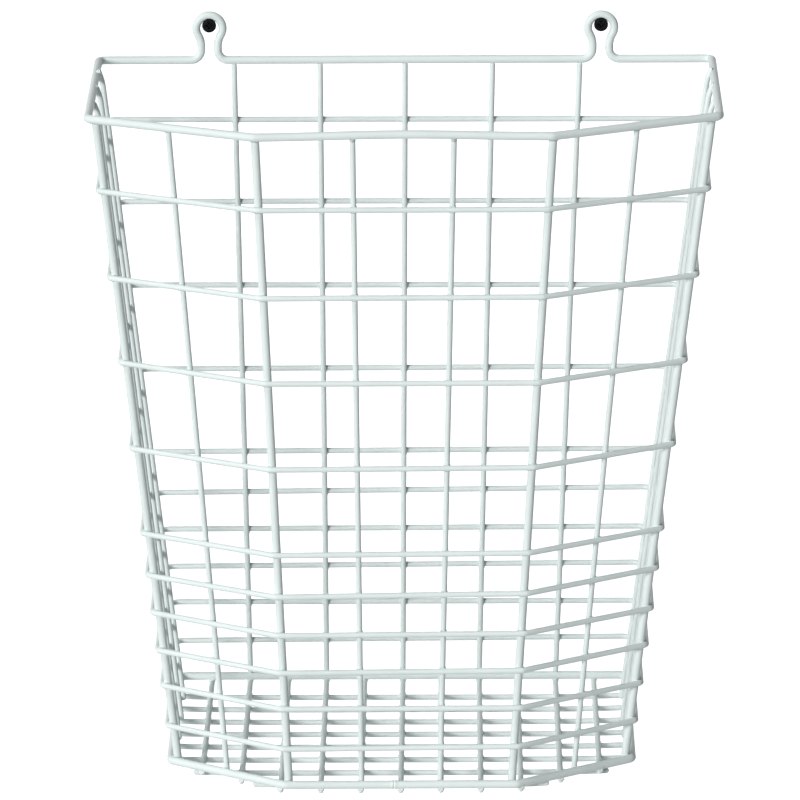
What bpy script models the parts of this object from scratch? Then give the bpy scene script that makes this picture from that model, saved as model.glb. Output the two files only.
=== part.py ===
"""Wall-hung wire waste basket: a six-sided, tapered basket of welded and coated steel wire.

The basket hangs by two loops, bent up in the back of its top rim, on two screws in the wall.
The origin is midway between the screws, on the wall. +Z is up, +X is right, the room is at -Y.
"""
import math

import bmesh
import bpy
from mathutils import Matrix, Vector

# Wires and the clearance between pieces that touch
RIM_R = 0.0026
POST_R = 0.0026
WIRE_R = 0.0018
GAP = 0.0003

# Plan of the four posts, by their centre lines: half widths, and depths from the wall. The sides
# run from the posts back to the wall, where they are a little wider apart
TOP_BACK_HALF = 0.1915
TOP_SIDE_HALF = 0.190
TOP_SIDE_DEPTH = 0.185
TOP_FRONT_HALF = 0.090
TOP_FRONT_DEPTH = 0.233
BASE_BACK_HALF = 0.1415
BASE_SIDE_HALF = 0.141
BASE_SIDE_DEPTH = 0.170
BASE_FRONT_HALF = 0.071
BASE_FRONT_DEPTH = 0.216

# Heights above the centre line of the bottom rim
RIM_HEIGHT = 0.420
BACK_RAIL_DROP = 0.007
TOP_RING_DROP = 0.0457
LOWEST_RING = 0.0248
CLOSE_PITCH = 0.0255
CLOSE_RINGS = 6
WIDE_RINGS = 4

# Bends
BACK_BEND = 0.005
BEND_STEPS = 4

# Hanger loops, in the plane of the back rail
LOOP_SPACING = 0.249
LOOP_BEND = 0.0081
LOOP_RISE = 0.0212
NECK_HALF = 0.00505
LOOP_STEPS = 18
FLARE_STEPS = 6

# Wall screws
HEAD_R = 0.0042
HEAD_EDGE = 0.0005
HEAD_DOME = 0.0005
HEAD_FLAT_R = 0.0034
SHANK_R = 0.0020
SCREW_IN_WALL = 0.024
SCREW_POINT = 0.006
SEAT_BACK = 0.0019
RECESS_LONG = 0.0046
RECESS_WIDE = 0.0010
RECESS_DEEP = 0.0017
SCREW_SIDES = 20

# Uprights
BACK_UPRIGHTS = 5
BACK_TOP_PITCH = 0.055
BACK_BASE_PITCH = 0.050
FRONT_TOP_HALF = 0.031
FRONT_BASE_HALF = 0.0245
SIDE_UPRIGHT_SHARES = (0.27, 0.51, 0.75)
DIAGONAL_UPRIGHT_SHARE = 0.46
POST_TOP_REACH = 0.0010
UPRIGHT_TOP_DROP = 0.0003
SIDE_TOP_DROP = 0.0012
UPRIGHT_BASE_REACH = 0.0015

# Floor
RUNNERS = 11
RUNNER_PITCH = 0.025
RUNNER_NUB = 0.0020
RUNNER_BACK_END = 0.0022
CROSS_WIRES = 8
CROSS_PITCH = 0.025
FIRST_CROSS = 0.0310
CROSS_INSET = 0.0015

# Sides of the round sections: 4 and 2 more for each step
THICK_STEPS = 3
THIN_STEPS = 2

# Offsets outwards from the posts' plan, and places that follow from the sizes above
RING_OFFSET = POST_R + WIRE_R + GAP
RIM_OFFSET = POST_R + RIM_R + GAP
UPRIGHT_OFFSET = RING_OFFSET - 2 * WIRE_R - GAP
RING_BACK = WIRE_R + GAP
UPRIGHT_BACK = RING_BACK + 2 * WIRE_R + GAP
RAIL_BACK = UPRIGHT_BACK
RUNNER_DROP = RIM_R + WIRE_R + GAP
CROSS_DROP = RUNNER_DROP + 2 * WIRE_R + GAP
SEAT_DROP = math.sqrt((RIM_R + GAP) ** 2 - SEAT_BACK ** 2) + HEAD_R
WIDE_PITCH = (RIM_HEIGHT - TOP_RING_DROP - LOWEST_RING - (CLOSE_RINGS - 1) * CLOSE_PITCH) / WIDE_RINGS
LOOP_HEIGHT = RIM_HEIGHT - BACK_RAIL_DROP + LOOP_RISE
SCREW_HEIGHT = LOOP_HEIGHT + LOOP_BEND - SEAT_DROP


def mix(low, high, share):
    """Value a share of the way from low to high."""
    return low + (high - low) * share


def flare_bend():
    """Bend radius between rail and loop: the flare touches the rail, the neck line and the loop.

    With the flare's centre at (NECK_HALF + f, f) and the loop's at (0, LOOP_RISE), the distance
    between them is LOOP_BEND + f, which is a quadratic in f.
    """
    half_b = LOOP_RISE + LOOP_BEND - NECK_HALF
    c = NECK_HALF ** 2 + LOOP_RISE ** 2 - LOOP_BEND ** 2
    return half_b - math.sqrt(half_b ** 2 - c)


def plan(height, offset):
    """Side bend and front bend of the right half, at a height, pushed outwards by an offset."""
    share = height / RIM_HEIGHT
    side = Vector((BASE_SIDE_HALF, BASE_SIDE_DEPTH)).lerp(Vector((TOP_SIDE_HALF, TOP_SIDE_DEPTH)), share)
    front = Vector((BASE_FRONT_HALF, BASE_FRONT_DEPTH)).lerp(Vector((TOP_FRONT_HALF, TOP_FRONT_DEPTH)), share)
    along = (front - side).normalized()
    outward = Vector((along.y, -along.x))
    side_x = side.x + offset
    side_depth = side.y + (offset - offset * outward.x) / outward.y
    front_depth = front.y + offset
    front_x = front.x + (offset - offset * outward.y) / outward.x
    return Vector((side_x, side_depth)), Vector((front_x, front_depth))


def side_x(height, depth):
    """Half width of the posts' plan in the side panel, at a height and a depth from the wall."""
    side, _ = plan(height, 0)
    back = mix(BASE_BACK_HALF, TOP_BACK_HALF, height / RIM_HEIGHT)
    return mix(back, side.x, depth / side.y)


def at(x, depth, height):
    """Point in the part's frame from a place by width, depth from the wall and height."""
    return Vector((x, -depth, height - SCREW_HEIGHT))


def bend(before, corner, after, radius, steps=BEND_STEPS):
    """Points of an arc that rounds the corner between two straight runs."""
    back = (before - corner).normalized()
    ahead = (after - corner).normalized()
    turn = math.pi - back.angle(ahead)
    reach = radius * math.tan(turn / 2)
    centre = corner + (back + ahead).normalized() * (radius / math.cos(turn / 2))
    start = corner + back * reach - centre
    axis = start.cross(corner + ahead * reach - centre).normalized()
    return [centre + Matrix.Rotation(turn * i / steps, 3, axis) @ start for i in range(steps + 1)]


def rounded(corners, radii):
    """Closed path through corners, each rounded by its own radius."""
    points = []
    for i, corner in enumerate(corners):
        points += bend(corners[i - 1], corner, corners[(i + 1) % len(corners)], radii[i])
    return points


def hexagon(height, offset, back_depth, back_height=None):
    """Six corners of an outline, from back left, round by the front, to back right."""
    side, front = plan(height, offset)
    low = height if back_height is None else back_height
    back_x = side_x(low, back_depth) + offset
    return [at(-back_x, back_depth, low), at(-side.x, side.y, height), at(-front.x, front.y, height),
            at(front.x, front.y, height), at(side.x, side.y, height), at(back_x, back_depth, low)]


def hanger_loop(centre_x):
    """Points of one keyhole loop in the back rail, from its right foot over the top to its left."""
    flare = flare_bend()
    foot = NECK_HALF + flare
    rail = RIM_HEIGHT - BACK_RAIL_DROP
    lean = math.atan2(LOOP_RISE - flare, foot)
    points = []
    for i in range(FLARE_STEPS):
        angle = -math.pi / 2 - (math.pi / 2 + lean) * i / FLARE_STEPS
        points.append((foot + flare * math.cos(angle), flare + flare * math.sin(angle)))
    for i in range(LOOP_STEPS + 1):
        angle = -lean + (math.pi + 2 * lean) * i / LOOP_STEPS
        points.append((LOOP_BEND * math.cos(angle), LOOP_RISE + LOOP_BEND * math.sin(angle)))
    for i in range(FLARE_STEPS - 1, -1, -1):
        angle = -math.pi / 2 + (math.pi / 2 + lean) * i / FLARE_STEPS
        points.append((-foot + flare * math.cos(angle), flare + flare * math.sin(angle)))
    return [at(centre_x + x, RAIL_BACK, rail + z) for x, z in points]


def coat(name, colour, roughness, metallic=0.0):
    """Principled material of one kind of piece."""
    material = bpy.data.materials.new(name)
    material.use_nodes = True
    shader = material.node_tree.nodes["Principled BSDF"]
    shader.inputs["Base Color"].default_value = (*colour, 1.0)
    shader.inputs["Roughness"].default_value = roughness
    shader.inputs["Metallic"].default_value = metallic
    material.diffuse_color = (*colour, 1.0)
    return material


def wire(name, points, radius, parent, material, closed=False):
    """One wire: a round section carried along points, with filled ends where it is open."""
    curve = bpy.data.curves.new(name, "CURVE")
    curve.dimensions = "3D"
    curve.bevel_depth = radius
    curve.bevel_resolution = THICK_STEPS if radius > WIRE_R else THIN_STEPS
    curve.use_fill_caps = not closed
    spline = curve.splines.new("POLY")
    spline.points.add(len(points) - 1)
    for spot, point in zip(spline.points, points):
        spot.co = (*point, 1.0)
    spline.use_cyclic_u = closed
    curve.materials.append(material)
    piece = bpy.data.objects.new(name, curve)
    bpy.context.collection.objects.link(piece)
    piece.parent = parent
    return piece


def upright(name, base, top, radius, parent, material):
    """One straight vertical wire between two ends given as (x, depth, height)."""
    return wire(name, [at(*base), at(*top)], radius, parent, material)


def along_line(base, top, height):
    """Point at a height on the line between two (x, depth, height) points."""
    share = (height - base[2]) / (top[2] - base[2])
    return tuple(mix(low, high, share) for low, high in zip(base, top))


def rims(parent, material):
    """Top rim with its two hanger loops, and the plain bottom rim."""
    corners = hexagon(RIM_HEIGHT, RIM_OFFSET, RAIL_BACK, RIM_HEIGHT - BACK_RAIL_DROP)
    radii = [BACK_BEND] + [RIM_OFFSET] * 4 + [BACK_BEND]
    path = rounded(corners, radii)
    path += hanger_loop(LOOP_SPACING / 2)
    path += hanger_loop(-LOOP_SPACING / 2)
    wire("top_rim", path, RIM_R, parent, material, closed=True)
    base = rounded(hexagon(0, RIM_OFFSET, RAIL_BACK), radii)
    wire("bottom_rim", base, RIM_R, parent, material, closed=True)


def rings(parent, material):
    """Ten ring wires, close together below and wider above, round the outside of the uprights."""
    for i in range(CLOSE_RINGS + WIDE_RINGS):
        close = min(i, CLOSE_RINGS - 1)
        height = LOWEST_RING + close * CLOSE_PITCH + (i - close) * WIDE_PITCH
        corners = hexagon(height, RING_OFFSET, RING_BACK)
        path = rounded(corners, [BACK_BEND] + [RING_OFFSET] * 4 + [BACK_BEND])
        wire(f"ring_{CLOSE_RINGS + WIDE_RINGS - i:02d}", path, WIRE_R, parent, material, closed=True)


def posts(parent, material):
    """Four thick posts in the side and front bends, inside the rims and the rings."""
    for label, side in (("left", -1), ("right", 1)):
        for place, index in (("side", 0), ("front", 1)):
            low = plan(0, 0)[index]
            high = plan(RIM_HEIGHT, 0)[index]
            base = (side * low.x, low.y, 0)
            top = (side * high.x, high.y, RIM_HEIGHT)
            upright(f"{place}_post_{label}", along_line(base, top, -UPRIGHT_BASE_REACH),
                    along_line(base, top, RIM_HEIGHT + POST_TOP_REACH), POST_R, parent, material)


def back_uprights(parent, material):
    """Thin uprights of the back, standing on the bottom rim and ending under the back rail."""
    for i in range(BACK_UPRIGHTS):
        step = i - (BACK_UPRIGHTS - 1) / 2
        base = (step * BACK_BASE_PITCH, UPRIGHT_BACK, RIM_R + GAP)
        top = (step * BACK_TOP_PITCH, UPRIGHT_BACK, RIM_HEIGHT - BACK_RAIL_DROP - RIM_R - GAP)
        upright(f"back_upright_{i + 1}", base, top, WIRE_R, parent, material)


def panel_uprights(parent, material):
    """Thin uprights of the two sides, the two diagonals and the front, inside the rims.

    The top rim slopes down to the wall along the sides, so the side uprights stand above it there.
    """
    low_side, low_front = plan(0, UPRIGHT_OFFSET)
    high_side, high_front = plan(RIM_HEIGHT, UPRIGHT_OFFSET)
    for label, side in (("left", -1), ("right", 1)):
        for i, share in enumerate(SIDE_UPRIGHT_SHARES):
            low_depth = mix(RAIL_BACK, low_side.y, share)
            high_depth = mix(RAIL_BACK, high_side.y, share)
            base = (side * (side_x(0, low_depth) + UPRIGHT_OFFSET), low_depth, 0)
            top = (side * (side_x(RIM_HEIGHT, high_depth) + UPRIGHT_OFFSET), high_depth, RIM_HEIGHT)
            upright(f"side_upright_{label}_{i + 1}", along_line(base, top, -UPRIGHT_BASE_REACH),
                    along_line(base, top, RIM_HEIGHT - SIDE_TOP_DROP), WIRE_R, parent, material)
        low = low_side.lerp(low_front, DIAGONAL_UPRIGHT_SHARE)
        high = high_side.lerp(high_front, DIAGONAL_UPRIGHT_SHARE)
        lines = {"diagonal": ((side * low.x, low.y, 0), (side * high.x, high.y, RIM_HEIGHT)),
                 "front": ((side * FRONT_BASE_HALF, low_front.y, 0),
                           (side * FRONT_TOP_HALF, high_front.y, RIM_HEIGHT))}
        for place, (base, top) in lines.items():
            upright(f"{place}_upright_{label}", along_line(base, top, -UPRIGHT_BASE_REACH),
                    along_line(base, top, RIM_HEIGHT - UPRIGHT_TOP_DROP), WIRE_R, parent, material)


def rim_depth(x):
    """Depth of the bottom rim's front outline at a place across the basket."""
    side, front = plan(0, RIM_OFFSET)
    if abs(x) <= front.x:
        return front.y
    return mix(front.y, side.y, (abs(x) - front.x) / (side.x - front.x))


def rim_half_width(depth):
    """Half width of the bottom rim's outline at a depth from the wall."""
    side, front = plan(0, RIM_OFFSET)
    if depth <= side.y:
        return side.x
    return mix(side.x, front.x, (depth - side.y) / (front.y - side.y))


def floor(parent, material):
    """Floor grid: runners from back to front under the bottom rim, and cross wires under them."""
    for i in range(RUNNERS):
        x = (i - (RUNNERS - 1) / 2) * RUNNER_PITCH
        ends = [at(x, RUNNER_BACK_END, -RUNNER_DROP), at(x, rim_depth(x) + RUNNER_NUB, -RUNNER_DROP)]
        wire(f"floor_runner_{i + 1:02d}", ends, WIRE_R, parent, material)
    for i in range(CROSS_WIRES):
        depth = FIRST_CROSS + i * CROSS_PITCH
        half = rim_half_width(depth) - CROSS_INSET
        ends = [at(-half, depth, -CROSS_DROP), at(half, depth, -CROSS_DROP)]
        wire(f"floor_cross_{i + 1}", ends, WIRE_R, parent, material)


def screw_profile():
    """Half outline of a screw as (radius, depth from the wall), from its head to its point."""
    edge = RAIL_BACK + SEAT_BACK
    face = edge + HEAD_EDGE
    return [(0, face + HEAD_DOME), (HEAD_FLAT_R, face + HEAD_DOME), (HEAD_R, face), (HEAD_R, edge),
            (SHANK_R, edge - (HEAD_R - SHANK_R)), (SHANK_R, SCREW_POINT - SCREW_IN_WALL), (0, -SCREW_IN_WALL)]


def turned(name, profile, material):
    """Solid turned about the Y axis from a (radius, depth) profile that starts and ends on it."""
    mesh = bpy.data.meshes.new(name)
    shape = bmesh.new()
    line = [shape.verts.new((radius, -depth, 0)) for radius, depth in profile]
    edges = [shape.edges.new(pair) for pair in zip(line, line[1:])]
    bmesh.ops.spin(shape, geom=line + edges, cent=(0, 0, 0), axis=(0, 1, 0), angle=2 * math.pi,
                   steps=SCREW_SIDES, use_merge=True)
    bmesh.ops.remove_doubles(shape, verts=shape.verts, dist=GAP / 100)
    bmesh.ops.recalc_face_normals(shape, faces=shape.faces)
    shape.to_mesh(mesh)
    shape.free()
    mesh.shade_smooth()
    mesh.set_sharp_from_angle(angle=math.radians(30))
    mesh.materials.append(material)
    piece = bpy.data.objects.new(name, mesh)
    bpy.context.collection.objects.link(piece)
    return piece


def slot_cutter(name, size):
    """Block that cuts one slot of a cross recess, centred on its own origin."""
    mesh = bpy.data.meshes.new(name)
    shape = bmesh.new()
    bmesh.ops.create_cube(shape, size=1.0, matrix=Matrix.Diagonal((*size, 1.0)))
    shape.to_mesh(mesh)
    shape.free()
    block = bpy.data.objects.new(name, mesh)
    bpy.context.collection.objects.link(block)
    block.hide_render = True
    block.display_type = "WIRE"
    return block


def screws(parent, material):
    """Two countersunk screws in the wall, each with a cross recess in its head."""
    face = RAIL_BACK + SEAT_BACK + HEAD_EDGE + HEAD_DOME
    slots = {"level": (RECESS_LONG, 2 * RECESS_DEEP, RECESS_WIDE),
             "plumb": (RECESS_WIDE, 2 * RECESS_DEEP, RECESS_LONG)}
    for label, side in (("left", -1), ("right", 1)):
        place = at(side * LOOP_SPACING / 2, 0, SCREW_HEIGHT)
        piece = turned(f"wall_screw_{label}", screw_profile(), material)
        piece.location = place
        piece.parent = parent
        for name, size in slots.items():
            block = slot_cutter(f"recess_{name}_{label}", size)
            block.location = place + at(0, face, SCREW_HEIGHT)
            cut = piece.modifiers.new(f"recess_{name}", "BOOLEAN")
            cut.operation = "DIFFERENCE"
            cut.object = block


def group(name):
    """Empty that carries the pieces of one body."""
    empty = bpy.data.objects.new(name, None)
    bpy.context.collection.objects.link(empty)
    return empty


def main():
    """Build the whole part in an emptied scene."""
    for thing in list(bpy.data.objects):
        bpy.data.objects.remove(thing, do_unlink=True)
    basket = group("basket_body")
    wall = group("wall_body")
    rims(basket, coat("rim_coating", (0.80, 0.84, 0.83), 0.38))
    rings(basket, coat("ring_coating", (0.82, 0.86, 0.85), 0.38))
    posts(basket, coat("post_coating", (0.80, 0.85, 0.84), 0.38))
    thin = coat("upright_coating", (0.81, 0.85, 0.84), 0.38)
    back_uprights(basket, thin)
    panel_uprights(basket, thin)
    floor(basket, coat("floor_coating", (0.79, 0.83, 0.82), 0.40))
    screws(wall, coat("black_screw", (0.02, 0.02, 0.02), 0.35, metallic=0.6))


main()
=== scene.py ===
"""Looks of a wall-hung waste basket of welded steel wire with a pale coating.

Every wire is a round section carried along its own centre line. All places are in metres in the
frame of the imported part: the wall is the plane Y = 0, the room is at -Y, +Z is up, and the origin
is midway between the two screws.
"""
import logging
import math
from dataclasses import dataclass, field
from enum import Enum
from typing import NamedTuple

import bpy
import numpy as np
from mathutils import Matrix


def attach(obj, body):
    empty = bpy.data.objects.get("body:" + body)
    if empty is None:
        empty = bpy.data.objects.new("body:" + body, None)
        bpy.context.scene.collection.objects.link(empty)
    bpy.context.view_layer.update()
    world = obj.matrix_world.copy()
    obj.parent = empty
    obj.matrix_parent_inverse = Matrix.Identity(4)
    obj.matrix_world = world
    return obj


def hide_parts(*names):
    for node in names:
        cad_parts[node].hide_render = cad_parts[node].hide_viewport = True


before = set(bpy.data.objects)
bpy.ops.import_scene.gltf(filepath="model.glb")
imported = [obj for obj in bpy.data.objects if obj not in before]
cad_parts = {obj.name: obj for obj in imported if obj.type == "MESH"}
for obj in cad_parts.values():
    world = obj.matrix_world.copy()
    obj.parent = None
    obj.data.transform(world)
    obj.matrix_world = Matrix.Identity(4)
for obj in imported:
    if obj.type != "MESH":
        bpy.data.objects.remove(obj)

log = logging.getLogger("basket")
Array = np.ndarray
Arrays = tuple[Array, Array]
Pair = tuple[float, float]
Triple = tuple[float, float, float]
Socket = bpy.types.NodeSocket
ACROSS = np.array([1.0, 0.0, 0.0])
INTO_WALL = np.array([0.0, 1.0, 0.0])
UP = np.array([0.0, 0.0, 1.0])
FULL_TURN = 2 * math.pi
BASKET_BODY = "basket"
SCREW_BODY = "wall_screws"


class Gauge(Enum):
    """The two wires of the basket, as radius in metres and sides of the section."""

    THICK = (0.0026, 28)
    THIN = (0.0018, 22)

    @property
    def radius(self) -> float:
        """Radius of the coated wire."""
        return self.value[0]

    @property
    def sides(self) -> int:
        """Number of sides of the round section."""
        return self.value[1]


def unit(vectors: Array) -> Array:
    """Vectors divided by their own lengths, along the last axis."""
    return vectors / np.linalg.norm(vectors, axis=-1, keepdims=True)


def mix(low: Array | float, high: Array | float, share: Array | float) -> Array | float:
    """Value a share of the way from low to high."""
    return low + (high - low) * share


def smooth(share: Array) -> Array:
    """Smooth step 3 s^2 - 2 s^3 of shares from 0 to 1."""
    return share * share * (3 - 2 * share)


def weigh(weights: tuple[float, ...], terms: tuple) -> Array | float:
    """Sum of each weight times its term."""
    return sum(weight * term for weight, term in zip(weights, terms))


def wander(places: Array, seed: int, length: float) -> Array:
    """Slow random waver along a wire, between about -1 and 1.

    The formula is a sum of sines: sum of a_k sin(2 pi k s / L + p_k), with whole numbers k, so
    that a closed wire meets itself, and with a_k falling as 1 / sqrt(k).

    Args:
        places: distance of each point along the wire.
        seed: what makes one wire differ from the next.
        length: the length L over which the waver repeats.

    Returns:
        One value for each place.
    """
    draw = np.random.default_rng(seed)
    waves = np.arange(2, 9)
    phase = draw.uniform(0, FULL_TURN, len(waves))
    weight = draw.uniform(0.4, 1.0, len(waves)) / np.sqrt(waves)
    angle = FULL_TURN * waves[None, :] * places[:, None] / length + phase[None, :]
    return (weight * np.sin(angle)).sum(axis=1) / weight.sum()


@dataclass(frozen=True)
class Plan:
    """Plan of the four posts by their centre lines, and the heights of the rims.

    Heights are above the centre line of the bottom rim. Depths are from the wall. The basket has a
    slight set from use: its lower end stands a little to the left of its upper end.
    """

    top_back: float = 0.1915
    top_side: Pair = (0.190, 0.185)
    top_front: Pair = (0.090, 0.233)
    base_back: float = 0.1415
    base_side: Pair = (0.141, 0.170)
    base_front: Pair = (0.071, 0.216)
    rim_height: float = 0.420
    back_drop: float = 0.007
    screw_height: float = 0.4359091
    sunk: float = 0.0007
    ring_back: float = 0.0031
    rail_back: float = 0.0060
    foot_set: tuple[float, ...] = (-0.00325, -0.0008, -0.00035, 0.00065)
    front_set: tuple[float, ...] = (-0.0002, -0.0015)
    front_rise: tuple[float, ...] = (-0.0002, 0.00035)
    middle_rise: tuple[float, ...] = (-0.0005, 0.00035, 0.0005, -0.00015)

    def bends(self, height: float, offset: float) -> Arrays:
        """Side bend and front bend of the right half, as (x, depth).

        Args:
            height: height above the bottom rim.
            offset: how far the outline is pushed outwards from the posts' centre lines.

        Returns:
            The two corners where the pushed lines of the side, diagonal and front meet.
        """
        share = height / self.rim_height
        side = mix(np.array(self.base_side), np.array(self.top_side), share)
        front = mix(np.array(self.base_front), np.array(self.top_front), share)
        along = unit(front - side)
        out = np.array([along[1], -along[0]])
        side_bend = np.array([side[0] + offset, side[1] + (offset - offset * out[0]) / out[1]])
        front_bend = np.array([front[0] + (offset - offset * out[1]) / out[0], front[1] + offset])
        return side_bend, front_bend

    def side_x(self, height: float, depth: float) -> float:
        """Half width of the posts' plan in the side panel, at a height and a depth from the wall.

        Args:
            height: height above the bottom rim.
            depth: depth from the wall.

        Returns:
            Distance from the middle plane.
        """
        side, _ = self.bends(height, 0.0)
        back = mix(self.base_back, self.top_back, height / self.rim_height)
        return float(mix(back, side[0], depth / side[1]))

    def shares(self, x: Array, depth: Array) -> Arrays:
        """Places across and out from the wall, as shares of the half width and the whole depth."""
        return np.asarray(x) / self.top_side[0], np.asarray(depth) / self.top_front[1]

    def at(self, x: Array, depth: Array, height: Array) -> Array:
        """Points in the part's frame from width, depth from the wall and height.

        With u, v and w the shares of the width, depth and height, the set moves a point across by
        (1 - w) times a sum of 1, u, v and u v, plus v w times a sum of 1 and u. It moves it up by
        v times a sum of 1 and u, plus 4 w (1 - w) times a sum of v, u v, u and 1.

        Args:
            x: place across.
            depth: depth from the wall.
            height: height above the bottom rim.

        Returns:
            Points with the set from use, as x, y and z.
        """
        x, depth, height = np.broadcast_arrays(x, depth, height)
        (u, v), w = self.shares(x, depth), height / self.rim_height
        across = (1 - w) * weigh(self.foot_set, (1, u, v, u * v)) + v * w * weigh(self.front_set, (1, u))
        up = v * weigh(self.front_rise, (1, u)) + 4 * w * (1 - w) * weigh(self.middle_rise, (v, u * v, u, 1))
        return np.stack([x + across, -depth, height - self.screw_height + up], axis=-1).astype(float)

    def outline(self, height: float, offset: float, back: float, back_drop: float = 0.0) -> Arrays:
        """Width and depth of an outline's six corners, from back left round to back right.

        Args:
            height: height above the bottom rim.
            offset: how far it lies outside the posts' centre lines.
            back: depth of its back run.
            back_drop: how much lower the back run lies.

        Returns:
            Places across and depths of the corners.
        """
        side, front = self.bends(height, offset)
        wide = self.side_x(height - back_drop, back) + offset
        x = np.array([-wide, -side[0], -front[0], front[0], side[0], wide])
        return x, np.array([back, side[1], front[1], front[1], side[1], back])

    @property
    def ring_offset(self) -> float:
        """Centre line of the rings outside that of the posts."""
        return Gauge.THICK.radius + Gauge.THIN.radius - self.sunk

    @property
    def rim_offset(self) -> float:
        """Centre line of the rims outside that of the posts."""
        return 2 * Gauge.THICK.radius - self.sunk

    @property
    def upright_offset(self) -> float:
        """Centre line of the thin uprights outside that of the posts."""
        return self.ring_offset - 2 * Gauge.THIN.radius + self.sunk


def arc(before: Array, corner: Array, after: Array, radius: float, steps: int) -> Array:
    """Points of an arc that rounds a corner between two straight runs.

    A point of the arc is c + r (cos a u + sin a v), where c is the arc's centre, u points from it
    to the arc's start, and v runs ahead from there.

    Args:
        before: corner before this one.
        corner: the corner to round.
        after: corner after this one.
        radius: radius of the arc.
        steps: number of steps along it.

    Returns:
        Points from the arc's start to its end.
    """
    back, ahead = unit(before - corner), unit(after - corner)
    turn = math.pi - math.acos(float(np.clip(back @ ahead, -1, 1)))
    centre = corner + unit(back + ahead) * (radius / math.cos(turn / 2))
    start = corner + back * radius * math.tan(turn / 2) - centre
    angle = np.linspace(0, turn, steps + 1)[:, None]
    return centre + np.cos(angle) * start - np.sin(angle) * back * radius


def rounded(corners: Array, back_bend: float, bend: float, steps: int) -> list[Array]:
    """Arcs at an outline's six corners, of which the first and last are at the wall."""
    radii = [back_bend] + [bend] * 4 + [back_bend]
    return [arc(corners[i - 1], corners[i], corners[(i + 1) % 6], radii[i], steps) for i in range(6)]


def run(start: Array, end: Array, spacing: float) -> Array:
    """Points inside a straight run, evenly spaced, without its two ends.

    Args:
        start: first end of the run.
        end: its other end.
        spacing: wished distance between points.

    Returns:
        The points between the two ends.
    """
    steps = max(int(round(float(np.linalg.norm(end - start)) / spacing)), 1)
    share = np.arange(1, steps)[:, None] / steps
    return start + (end - start) * share


def closed_path(pieces: list[Array], spacing: float) -> Array:
    """Closed path through curved pieces, with evenly spaced points in the runs between them.

    Args:
        pieces: points of each curved piece, in order.
        spacing: wished distance in the runs.

    Returns:
        Points of the whole path, the last of which leads to the first.
    """
    parts = []
    for piece, following in zip(pieces, pieces[1:] + pieces[:1]):
        parts += [piece, run(piece[-1], following[0], spacing)]
    return np.concatenate(parts)


def line_path(start: Array, end: Array, spacing: float) -> Array:
    """Straight path with its two ends and evenly spaced points between them."""
    return np.concatenate([start[None], run(start, end, spacing), end[None]])


def tube_corners(rows: int, turns: int, closed: bool) -> Arrays:
    """Row and turn of the four corners of each quad of a tube, counted on where it meets itself.

    Each row runs clockwise round the tube's course, so outward corners go along the tube first.

    Args:
        rows: number of rows along the tube.
        turns: number of points in each row.
        closed: whether the last row meets the first.

    Returns:
        Row numbers and turn numbers, four for each quad.
    """
    i, j = np.meshgrid(np.arange(rows if closed else rows - 1), np.arange(turns), indexing="ij")
    corners = [i, i + 1, i + 1, i], [j, j, j + 1, j + 1]
    row, turn = (np.stack(part, axis=-1).reshape(-1, 4) for part in corners)
    return row, turn


def tube_faces(rows: int, turns: int, closed: bool) -> list[list[int]]:
    """Outward quads between the rows of a tube, with flat closing faces on an open one.

    Args:
        rows: number of rows along the tube.
        turns: number of points in each row.
        closed: whether the last row meets the first.

    Returns:
        Faces as lists of point numbers, counted row by row.
    """
    row, turn = tube_corners(rows, turns, closed)
    quads = (row % rows * turns + turn % turns).tolist()
    ends = [list(range(turns)), list(range((rows - 1) * turns, rows * turns))[::-1]]
    return quads if closed else quads + ends


def put_mesh(name: str, points: Array, faces: list, material: bpy.types.Material) -> bpy.types.Object:
    """Mesh object at the origin from points and faces, shaded smooth, with one material.

    Args:
        name: name of the object and its mesh.
        points: places of the vertices.
        faces: point numbers of each face.
        material: what it is covered with.

    Returns:
        The linked object.
    """
    mesh = bpy.data.meshes.new(name)
    mesh.from_pydata(points.reshape(-1, 3).tolist(), [], faces)
    mesh.shade_smooth()
    mesh.materials.append(material)
    mesh.update()
    piece = bpy.data.objects.new(name, mesh)
    bpy.context.scene.collection.objects.link(piece)
    return piece


def place(piece: bpy.types.Object, nodes: tuple[str, ...] = (), body: str = BASKET_BODY) -> None:
    """Ride a finished piece on its body and let it stand for its CAD nodes.

    Args:
        piece: the finished object.
        nodes: CAD nodes that it stands for.
        body: the body that it moves with.
    """
    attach(piece, body)
    if nodes:
        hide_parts(*nodes)
    log.info("%s: %d faces", piece.name, len(piece.data.polygons))


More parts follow.
